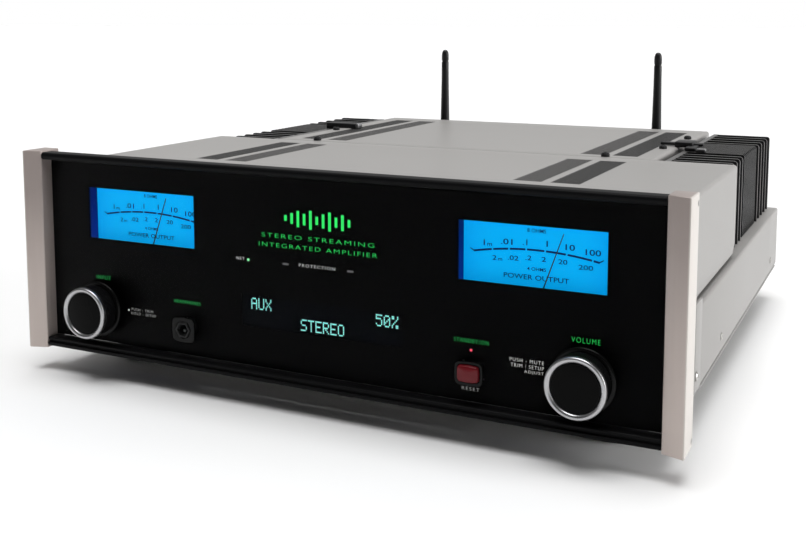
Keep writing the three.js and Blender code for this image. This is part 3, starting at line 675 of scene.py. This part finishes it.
socket = {"x": -96.25, "z": 42.3, "hole": 5.75}
build = bmesh.new()
plate = barrel(socket["x"], socket["z"], 16.8, 15.4, 0.5, 3.0)
angles = [math.atan2(z - socket["z"], x - socket["x"]) % (2 * math.pi) for x, z in plate]
hole = [(socket["x"] + socket["hole"] * math.cos(a), socket["z"] + socket["hole"] * math.sin(a))
        for a in angles]
addFrame(build, plate, hole, 7.7, 6.3)
settle("socketPlate", build, bezelBlack, bevel=0.25, steps=3)
build = bmesh.new()
addTurned(build, [(4.1, 9.0), (4.1, 5.9), (4.5, 5.5), (5.2, 5.4), (5.7, 5.8), (5.7, 9.0)],
          at(socket["x"], 0, socket["z"]), 6, closed=True)
settle("socketNut", build, mouldedBlack, bevel=0.2)
build = bmesh.new()
addTurned(build, [(0, 0), (0.9, 0.3), (1.2, 1.2), (0.9, 2.1), (0, 2.4)],
          at(socket["x"] - 1.9, 9.5, socket["z"] - 1.7), 16)
settle("socketContact", build, ringSteel)
dress(mouldedBlack, "headphone_jack")
print("controls done")


# ---- covers, chassis and feet

cover = {"half": 212, "top": 141.9, "start": 21.4, "seam": 212.3, "rearHalf": 155.3, "end": 428,
         "fold": 2.4, "sheet": 1.5}
vents = {"inner": (97.85, 116.6), "outer": (121.85, 140.65), "front": (82, 195.6), "rear": (226, 406.3)}


def ventHoles(span):
    holes = []
    for side in (-1, 1):
        for a, b in (vents["inner"], vents["outer"]):
            holes.append((min(side * a, side * b), max(side * a, side * b), *span))
    return holes


def topSpine(half, low, extra=()):
    fold, top = cover["fold"], cover["top"]
    corner = [(half - fold + fold * math.cos(math.radians(a)),
               top - fold + fold * math.sin(math.radians(a)))
              for a in (0, 18, 36, 54, 72, 90)]
    breaks = [x for pair in (vents["inner"], vents["outer"]) for x in pair]
    right = [(half, low), *((half, z) for z in extra), *corner] + [(x, top) for x in sorted(breaks,
                                                                                            reverse=True)]
    return right + [(-x, z) for x, z in reversed(right)]


build = bmesh.new()
stations = [cover["start"], 70.4, 79.4, 82, 195.6, 205.8, cover["seam"]]
spine = topSpine(cover["half"], 82, (88.5,))
addSheet(build, spine, stations, ventHoles(vents["front"]))
for side in (-1, 1):
    x = side * cover["half"]
    corner = [f for f in build.faces if abs(f.calc_center_median().x - x * 0.001) < 1e-5
              and f.calc_center_median().y > at(0, 206, 0).y and f.calc_center_median().z < 0.0885]
    bmesh.ops.delete(build, geom=corner, context="FACES_ONLY")
    tri = [build.verts.new(at(x, 205.8, 82)), build.verts.new(at(x, 205.8, 88.5)),
           build.verts.new(at(x, cover["seam"], 88.5))]
    build.faces.new(tri)
    legY, legZ = [cover["start"], 45, 70.4, 79.4], [82, 25, 21]
    grid = [[build.verts.new(at(x, y, z)) for y in legY] for z in legZ]
    for j in range(2):
        for i in range(3):
            if j == 1 and i == 2:
                build.faces.new((grid[1][2], grid[1][3], grid[2][2]))
            else:
                build.faces.new((grid[j][i], grid[j][i + 1], grid[j + 1][i + 1], grid[j + 1][i]))
loose = [v for v in build.verts if not v.link_faces]
bmesh.ops.delete(build, geom=loose, context="VERTS")
frontCover = settle("frontCover", build, caseGrey, shell=cover["sheet"], bevel=0.3)
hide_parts("front_cover")

build = bmesh.new()
addSheet(build, topSpine(cover["rearHalf"], 79), [213.1, 226, 406.3, cover["end"]],
         ventHoles(vents["rear"]))
rearCover = settle("rearCover", build, caseGrey, shell=cover["sheet"], bevel=0.3)
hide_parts("rear_cover")

grille = {"pitch": 2.3, "bar": 1.25, "drop": 0.35, "thick": 0.8}
for spanName, span in (("Front", vents["front"]), ("Rear", vents["rear"])):
    for pairName, finish in (("inner", ventShadeGrey), ("outer", ventShadeDark)):
        build = bmesh.new()
        for side in (-1, 1):
            a, b = vents[pairName]
            x0, x1 = min(side * a, side * b), max(side * a, side * b)
            top = cover["top"] - grille["drop"]
            count = int((span[1] - span[0]) / grille["pitch"])
            for i in range(count + 1):
                y = span[0] + i * grille["pitch"]
                addBlock(build, at(x0, y, top - grille["thick"]),
                         at(x1, min(y + grille["bar"], span[1]), top))
            for x in (x0, x1 - 1.0):
                addBlock(build, at(x, span[0], top - grille["thick"] - 0.1),
                         at(x + 1.0, span[1], top - 0.02))
        settle("grille" + spanName + pairName.title(), build, finish, weld=False)

# button-head screws: the seam's pair, and those beside the straps
def capScrew(build, x, y, z, radius=3.0, tall=2.6):
    addTurned(build, [(0, -0.5), (radius * 0.7, -0.5), (radius, 0.2), (radius, tall * 0.55),
                      (radius * 0.8, tall * 0.9),
                      (radius * 0.5, tall), (radius * 0.45, tall * 0.45), (0, tall * 0.45)], at(x, y, z),
                      12, "Z")


build = bmesh.new()
for x in (-119.5, 119.5):
    capScrew(build, x, 217.6, cover["top"], 3.2, 3.2)
for x, y in ((150.3, 358), (146.5, 283), (-146.5, 297), (-149.5, 338)):
    capScrew(build, x, y, cover["top"], 3.0, 2.8)
settle("coverScrews", build, strapBlack, smooth=20)

build = bmesh.new()
addBlock(build, at(139.7, 303.5, 142.4), at(172.8, 308.5, 145.0))
addBlock(build, at(152, 297, 141.9), at(166, 314, 146.3))
addBlock(build, at(162, 285, 140.7), at(170, 303.5, 143.6))
addBlock(build, at(-167, 314, 140.8), at(-136, 325, 146.4))
settle("sinkStraps", build, strapBlack, bevel=1.2, steps=3, weld=False)
build = bmesh.new()
addBlock(build, at(171, 283, 140.6), at(178, 288, 143.0))
addBlock(build, at(-137.2, 315.5, 142), at(-134.4, 323.5, 146.2))
settle("strapClips", build, ringSteel, bevel=0.6, steps=2, weld=False)

# the lower case: floor, side walls and the shelves that the heat sinks stand on
tray = {"half": 215, "low": 29.5, "high": 78.5, "front": 80, "ear": 62, "earTop": 81.7, "back": 427.5,
        "shelf": 160, "fold": 1.6}
build = bmesh.new()
arc = [(math.cos(math.radians(a)), math.sin(math.radians(a))) for a in (0, 30, 60, 90)]
right = [(tray["shelf"], tray["high"])]
right += [(tray["half"] - tray["fold"] + tray["fold"] * c,
           tray["high"] - tray["fold"] + tray["fold"] * s) for c, s in reversed(arc)]
right += [(tray["half"] - tray["fold"] + tray["fold"] * c,
           tray["low"] + tray["fold"] - tray["fold"] * s) for c, s in arc]
right += [(210, tray["low"]), (130, tray["low"]), (60, tray["low"])]
floorSlots = [(s * 95 - 35, s * 95 + 35, 250 + n * 30, 255 + n * 30) for s in (-1, 1) for n in range(5)]
stations = [tray["front"]] + [y for n in range(5) for y in (250 + n * 30, 255 + n * 30)] + [tray["back"]]
spine = right + [(-x, z) for x, z in reversed(right)]
rows = [[build.verts.new(at(x, y, z)) for x, z in spine] for y in stations]
for j in range(len(stations) - 1):
    for i in range(len(spine) - 1):
        x, z = (spine[i][0] + spine[i + 1][0]) / 2, (spine[i][1] + spine[i + 1][1]) / 2
        y = (stations[j] + stations[j + 1]) / 2
        if z > 30 or not any(x0 < x < x1 and y0 < y < y1 for x0, x1, y0, y1 in floorSlots):
            build.faces.new((rows[j][i], rows[j][i + 1], rows[j + 1][i + 1], rows[j + 1][i]))
flat = [(x, z) for x, z in spine if z == tray["low"] and abs(x) <= 210]
addSheet(build, flat, [24, tray["front"]])
lowerCase = settle("lowerCase", build, caseGrey, shell=1.5, bevel=0.3)
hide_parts("chassis_tray")
build = bmesh.new()
for side in (-1, 1):
    edge = sorted((side * (tray["half"] - 1.5), side * tray["half"]))
    addPrism(build, [(tray["ear"], 29.7), (tray["front"] + 0.4, 29.7),
                     (tray["front"] + 0.4, tray["earTop"]),
                     (tray["ear"], tray["earTop"])], *edge, "X")
settle("caseEars", build, caseGrey, bevel=0.2)

# painted shade: a black strip along the foot of the case, standing for the shade under the tray's edge
build = bmesh.new()
addBlock(build, at(-213.4, 82, 28.5), at(213.4, 426.5, 29.6))
settle("underShadeStrip", build, panelBlack, bevel=0.2)
build = bmesh.new()
addBlock(build, at(-214.6, 81, 27.3), at(214.6, 427, 28.5))
settle("underPlate", build, caseGrey, bevel=0.3)
# painted shade: a black strip under the seam between the covers, standing for the shade in the gap
build = bmesh.new()
addBlock(build, at(-211, cover["seam"] - 6, 138.4), at(211, cover["seam"] + 6, 140.3))
settle("seamShadeStrip", build, panelBlack, bevel=0.2)
build = bmesh.new()
for side in (-1, 1):
    addTurned(build, [(0, 0), (2.6, 0), (2.9, side * 0.5), (2.2, side * 1.1), (1.2, side * 1.2),
                      (1.0, side * 0.5), (0, side * 0.5)],
              at(side * 215, 66.5, 39.2), 20, "X")
    for y, z in ((150, 40), (390, 40)):
        addTurned(build, [(0, 0), (2.4, 0), (2.6, side * 0.3), (1.9, side * 0.8), (1.0, side * 0.85),
                          (0.9, side * 0.3), (0, side * 0.3)],
                  at(side * 215, y, z), 20, "X")
settle("caseScrews", build, screwSteel)

for node, x, y in (("foot_front_left", -172, 62), ("foot_front_right", 172, 62),
                   ("foot_rear_left", -172, 384), ("foot_rear_right", 172, 384)):
    build = bmesh.new()
    addTurned(build, [(0, 0), (14.5, 0), (15.8, 0.5), (18.2, 5), (18.5, 6.5), (17.6, 20), (16.6, 29.0),
                      (0, 29.0)], at(x, y, 0), 48, "Z")
    foot = settle(node.replace("_", " ").title().replace(" ", ""), build, footBlack,
                  smooth=40)
    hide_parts(node)
print("case done")


# ---- heat sinks

sink = {"inner": 161, "base": 165, "outer": 207.5, "low": 78.8, "high": 140.5, "start": 215, "end": 420}
fins = [(216 + i * 13, 2.2, 0) for i in range(5)] + [(283 + i * 5.4, 1.8, 0.8) for i in range(12)]
fins += [(352 + i * 16, 2.4, 0) for i in range(5)]
for side, sideName in ((-1, "left"), (1, "right")):
    build = bmesh.new()
    edge = [side * sink["inner"], side * sink["base"]]
    addBlock(build, at(min(edge), sink["start"], sink["low"]), at(max(edge), sink["end"], sink["high"]))
    for y, thick, short in fins:
        reach = sink["outer"] - short
        xs = [side * (sink["base"] - 0.5), side * reach]
        round_ = 2.2
        outline = [(xs[0], sink["low"]), (xs[1], sink["low"])]
        for a in (0, 30, 60, 90):
            outline.append((xs[1] - side * (round_ - round_ * math.cos(math.radians(a))),
                            sink["high"] - round_ + round_ * math.sin(math.radians(a))))
        outline.append((xs[0], sink["high"]))
        addPrism(build, outline, y, y + thick)
    made = settle("heatSink" + sideName.title(), build, sinkBlack, weld=False, smooth=20)
    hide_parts("heatsink_" + sideName)
print("heat sinks done")


# ---- rear connections

dress(panelBlack, "rear_panel")
build = bmesh.new()
for x, z in ((-205, 36), (-205, 72), (205, 36), (205, 72), (-149, 84), (149, 84), (-149, 135), (149, 135),
             (0, 90), (60, 135)):
    addTurned(build, [(0, 0), (2.4, 0), (2.4, 0.6), (1.7, 1.1), (0.9, 1.1), (0.8, 0.5), (0, 0.5)],
              at(x, 427.5, z), 20)
settle("rearScrews", build, strapBlack)

post = {"xs": [-59, -29, 1, 31], "z": 54}
build = bmesh.new()
plate = barrel(-14, post["z"], 128, 30, 0, 3)
addPrism(build, plate, 427.8, 431.5)
for x in post["xs"]:
    addTurned(build, [(0, 430), (8.2, 430), (8.2, 432.5), (7.4, 434.5), (3.5, 434.5), (3.5, 446.5),
                      (0, 446.5)],
              at(x, 0, post["z"]), 40)
blockPiece = settle("terminalBlock", build, mouldedBlack, weld=False)
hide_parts("speaker_terminal_block")
for i, x in enumerate(post["xs"]):
    build = bmesh.new()
    addTurned(build, [(3.9, 436.0), (8.0, 436.0), (8.5, 436.6), (8.5, 441.6), (8.0, 442.2), (7.3, 442.6),
                      (7.3, 451.2),
                      (6.6, 452), (3.9, 452)], at(x, 0, post["z"]), 56, closed=True, ribs=0.0)
    cap = settle("bindingPost" + str(i + 1), build, goldPlate, "post_" + str(i + 1), smooth=40)
    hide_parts("binding_post_" + str(i + 1))
    build = bmesh.new()
    addTurned(build, [(7.3, 443.6), (7.9, 444), (7.9, 450.2), (7.3, 450.6)], at(x, 0, post["z"]), 72,
              closed=True, ribs=0.35)
    settle("postGrip" + str(i + 1), build, socketRed if i % 2 else mouldedBlack, "post_" + str(i + 1))

build = bmesh.new()
addPrism(build, barrel(136, 57, 128, 38, 0, 2), 427.8, 429.4)
plate = settle("phonoPlate", build, mouldedBlack, bevel=0.3)
build = bmesh.new()
for z in (66, 48):
    for n in range(6):
        x = 84 + n * 20.8
        addTurned(build, [(2.0, 437.0), (3.7, 437.2), (4.2, 436.8), (4.2, 431.6), (5.2, 431.4),
                          (5.2, 429.4), (2.0, 429.4)],
                  at(x, 0, z), 28, closed=True)
jacks = settle("phonoBarrels", build, goldPlate, weld=False)
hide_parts("phono_socket_block")
for z, finish, label in ((66, socketWhite, "Left"), (48, socketRed, "Right")):
    build = bmesh.new()
    for n in range(6):
        addTurned(build, [(5.2, 429.4), (6.8, 429.4), (6.8, 430.3), (5.2, 430.5)], at(84 + n * 20.8, 0, z),
                  28, closed=True)
    settle("phonoRing" + label, build, finish, weld=False)
    build = bmesh.new()
    for n in range(6):
        addTurned(build, [(0, 434.6), (2.0, 434.6), (2.0, 429.5), (0, 429.5)], at(84 + n * 20.8, 0, z), 20)
    settle("phonoCore" + label, build, mouldedBlack, weld=False)

dress(mouldedBlack, "balanced_socket_pair", "mains_inlet")
build = bmesh.new()
for x in (-130, -106):
    for a in (90, 210, 330):
        spot = at(x + 3.4 * math.cos(math.radians(a)), 0, 56 + 3.4 * math.sin(math.radians(a)))
        addTurned(build, [(0, 427.8), (1.0, 427.8), (1.0, 429.0), (0, 429.3)], spot, 14)
    addTurned(build, [(7.9, 430.4), (9.2, 430.4), (9.2, 430.9), (7.9, 430.9)], at(x, 0, 56), 40,
              closed=True)
settle("balancedPins", build, screwSteel, weld=False)

build = bmesh.new()
addPrism(build, barrel(-15, 117, 118, 24, 0, 2), 427.8, 429.4)
for x in (-28, -8):
    addPrism(build, barrel(x, 117, 9.6, 9.6, 0, 1.2), 429.3, 433)
board = settle("digitalPlate", build, mouldedBlack, weld=False)
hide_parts("digital_socket_block")
build = bmesh.new()
addFrame(build, barrel(-54, 116.5, 12, 11, 0, 0.8), barrel(-54, 116.5, 9.4, 8.6, 0, 0.4), 429.4, 432.6)
for x in (14, 34):
    addTurned(build, [(2.0, 435.8), (3.7, 436), (4.2, 435.6), (4.2, 431.4), (5.2, 431.2), (5.2, 429.4),
                      (2.0, 429.4)],
              at(x, 0, 117), 28, closed=True)
settle("digitalSockets", build, screwSteel, weld=False)
build = bmesh.new()
for x in (-28, -8):
    addPrism(build, barrel(x, 117, 6.6, 6.4, 0, 0.8), 432.9, 433.2)
settle("opticalShutters", build, panelBlack, weld=False)

hinge = {"y": 444.5, "z": 107.5}  # where each aerial tilts
for side, sideName in ((-1, "left"), (1, "right")):
    x = side * 105.25
    build = bmesh.new()
    addTurned(build, [(3.1, 421.5), (3.1, 436), (0, 436)], at(x, 0, hinge["z"]), 24)
    addTurned(build, [(0, 421.5), (3.1, 421.5)], at(x, 0, hinge["z"]), 24)
    addTurned(build, [(3.1, 427.8), (5.0, 427.8), (5.0, 430.3), (4.6, 430.5), (3.1, 430.5)],
              at(x, 0, hinge["z"]), 6, closed=True)
    base = settle("aerialSocket" + sideName.title(), build, goldPlate, weld=False)
    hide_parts("aerial_socket_" + sideName)
    build = bmesh.new()
    addTurned(build, [(3.4, 433), (4.5, 433), (4.9, 433.4), (4.9, 439.2), (4.5, 439.6), (0, 439.6)],
              at(x, 0, hinge["z"]), 40, ribs=0.25)
    for edge in (-1, 1):
        turns = [math.radians(a) for a in range(20, 180, 20)]
        bend = [(hinge["y"] + 4 * math.sin(a), hinge["z"] - 4 * math.cos(a)) for a in turns]
        outline = [(439, 103.5), (hinge["y"], 103.5), *bend, (hinge["y"], 111.5), (439, 111.5)]
        addPrism(build, outline, x + edge * 3.3 - 1.2, x + edge * 3.3 + 1.2, "X")
    addTurned(build, [(0, -4.6), (1.2, -4.6), (1.2, 4.6), (0, 4.6)],
              at(x, hinge["y"], hinge["z"]), 20, "X")
    elbow = settle("aerialElbow" + sideName.title(), build, aerialBlack, "aerial_" + sideName + "_swivel",
                   weld=False)
    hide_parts("aerial_elbow_" + sideName)
    build = bmesh.new()
    addTurned(build, [(0, 113.5), (4.7, 113.5), (5.0, 114.2), (5.0, 117.0), (4.85, 122), (4.5, 135),
                      (4.1, 152), (3.75, 170), (3.5, 188), (3.45, 197.6), (3.1, 198.2), (3.1, 199.2),
                      (3.45, 199.8), (3.45, 204.4), (3.2, 206.6), (2.6, 208.4), (1.6, 209.6), (0, 210)],
              at(x, hinge["y"], 0), 32, "Z")
    turns = [math.radians(a) for a in range(0, 181, 20)]
    outline = [(hinge["y"] + 3 * math.cos(a), hinge["z"] - 3 * math.sin(a)) for a in turns]
    addPrism(build, outline + [(441.5, 114), (447.5, 114)], x - 1.8, x + 1.8, "X")
    mast = settle("aerialMast" + sideName.title(), build, aerialBlack, "aerial_" + sideName,
                  weld=False, smooth=50)
    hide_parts("aerial_mast_" + sideName)
print("rear done")


# ---- inside

dress(boardGreen, "amplifier_board", "supply_board", "input_board")
dress(strapBlack, "power_transformer")
dress(sleeveBlue, "filter_capacitor_left", "filter_capacitor_right")


# ---- floor, light and camera

floorPaint = Finish("floorPaint", (0.95, 0.95, 0.95), 0.9, Specular_IOR_Level=0.2)
floorPaint.drive("Base Color", floorPaint.shade(floorPaint.noise(3, 1.0), 0.01))
floorMesh = bpy.data.meshes.new("floor")
floorMesh.from_pydata([(-30, -30, 0), (30, -30, 0), (30, 30, 0), (-30, 30, 0)], [], [(0, 1, 2, 3)])
floorMesh.materials.append(floorPaint.material)
floor = bpy.data.objects.new("floor", floorMesh)
scene.collection.objects.link(floor)

studio = {"skyFront": 0.03, "skyBack": 0.6,
          "right": 1.7, "rightTilt": 75, "rightTurn": 98, "rightSoftness": 30,
          "top": 2.35, "topTilt": 5, "topTurn": 10, "topSoftness": 42}
world = bpy.data.worlds.new("studio")
scene.world = world
world.use_nodes = True
sky = world.node_tree
background = sky.nodes["Background"]
background.inputs["Color"].default_value = (1, 1, 1, 1)
rays = sky.nodes.new("ShaderNodeLightPath")
direction = sky.nodes.new("ShaderNodeTexCoord")
split = sky.nodes.new("ShaderNodeSeparateXYZ")
glow = sky.nodes.new("ShaderNodeMapRange")  # dim in front, bright behind
glow.inputs["From Min"].default_value = -0.6
glow.inputs["From Max"].default_value = 0.6
glow.inputs["To Min"].default_value = studio["skyFront"]
glow.inputs["To Max"].default_value = studio["skyBack"]
level = sky.nodes.new("ShaderNodeMapRange")
level.inputs["To Max"].default_value = 1.0
sky.links.new(direction.outputs["Generated"], split.inputs[0])
sky.links.new(split.outputs["Y"], glow.inputs["Value"])
sky.links.new(glow.outputs[0], level.inputs["To Min"])
sky.links.new(rays.outputs["Is Camera Ray"], level.inputs["Value"])
sky.links.new(level.outputs[0], background.inputs["Strength"])


def addSun(name, strength, tilt, turn, softness):
    # tilt from overhead, turn from -Y towards +X, in degrees
    light = bpy.data.lights.new(name, "SUN")
    light.energy, light.angle = strength, math.radians(softness)
    lamp = bpy.data.objects.new(name, light)
    t, a = math.radians(tilt), math.radians(turn)
    away = Vector((math.sin(t) * math.sin(a), -math.sin(t) * math.cos(a), math.cos(t)))
    lamp.rotation_mode = "QUATERNION"
    lamp.rotation_quaternion = away.to_track_quat("Z", "Y")
    scene.collection.objects.link(lamp)


addSun("rightSoftbox", studio["right"], studio["rightTilt"], studio["rightTurn"], studio["rightSoftness"])
addSun("topSoftbox", studio["top"], studio["topTilt"], studio["topTurn"], studio["topSoftness"])

view = {"turn": 25.815, "dip": 6.381, "lens": 48.019, "shift": -0.16, "spot": (322.44, -757.92, 239.94)}
camera = bpy.data.objects.new("camera", bpy.data.cameras.new("camera"))
camera.data.lens, camera.data.sensor_width, camera.data.shift_y = view["lens"], 36, view["shift"]
camera.location = Vector(view["spot"]) * 0.001
a, t = math.radians(view["turn"]), math.radians(view["dip"])
back = Vector((math.sin(a) * math.cos(t), -math.cos(a) * math.cos(t), math.sin(t)))
camera.rotation_mode = "QUATERNION"
camera.rotation_quaternion = (-back).to_track_quat("-Z", "Y")
camera.data.clip_start, camera.data.clip_end = 0.01, 100
scene.collection.objects.link(camera)
scene.camera = camera

print("scene ready")
